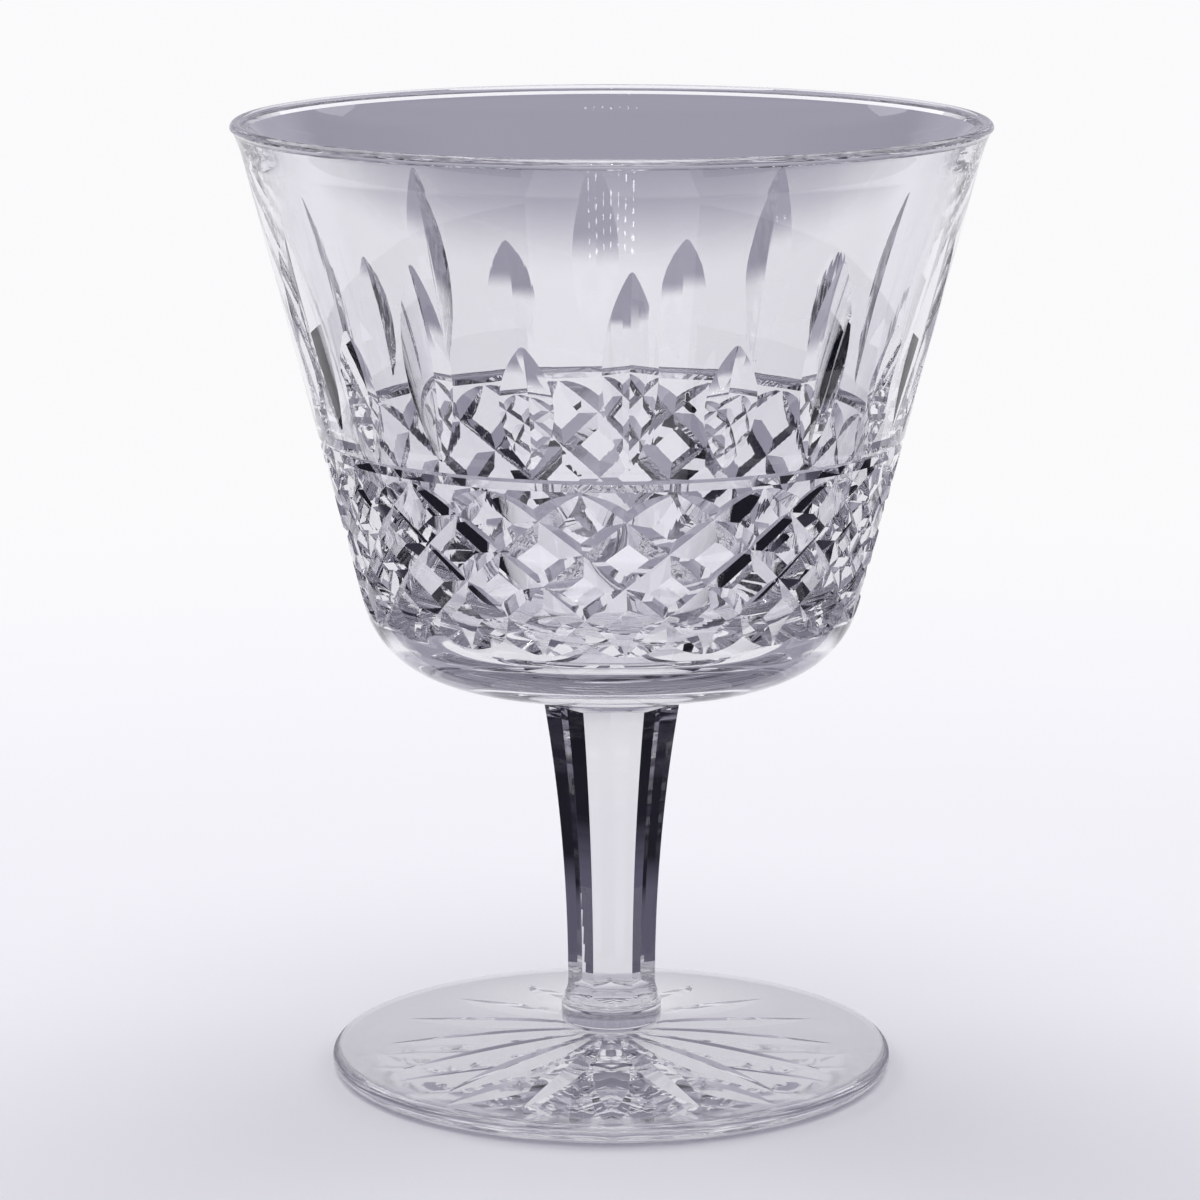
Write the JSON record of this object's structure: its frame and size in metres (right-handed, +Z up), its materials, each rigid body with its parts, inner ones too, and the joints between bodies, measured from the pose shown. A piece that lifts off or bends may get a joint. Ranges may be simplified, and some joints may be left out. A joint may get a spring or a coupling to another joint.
{
  "type": "water goblet",
  "caption": "Short-stemmed water goblet in clear cut crystal: a flaring bowl with a diamond-cut band and upright olive cuts, a panel-cut stem and a round star-cut foot.",
  "frame": {"origin": "centre of the foot's flat underside, on the goblet's axis", "axes": "+Z up along the goblet's axis, from the foot to the rim; -Y towards the viewer of the picture"},
  "size_m": [0.0902, 0.0902, 0.1159],
  "materials": {
    "bowl_crystal": "polished clear crystal with a faint cool tone",
    "stem_crystal": "polished clear crystal, cut in flat panels",
    "foot_crystal": "polished clear crystal, star cut underneath"
  },
  "bodies": {
    "root": {"bowl": "bowl_crystal", "stem": "stem_crystal", "foot": "foot_crystal"}
  },
  "joints": []
}
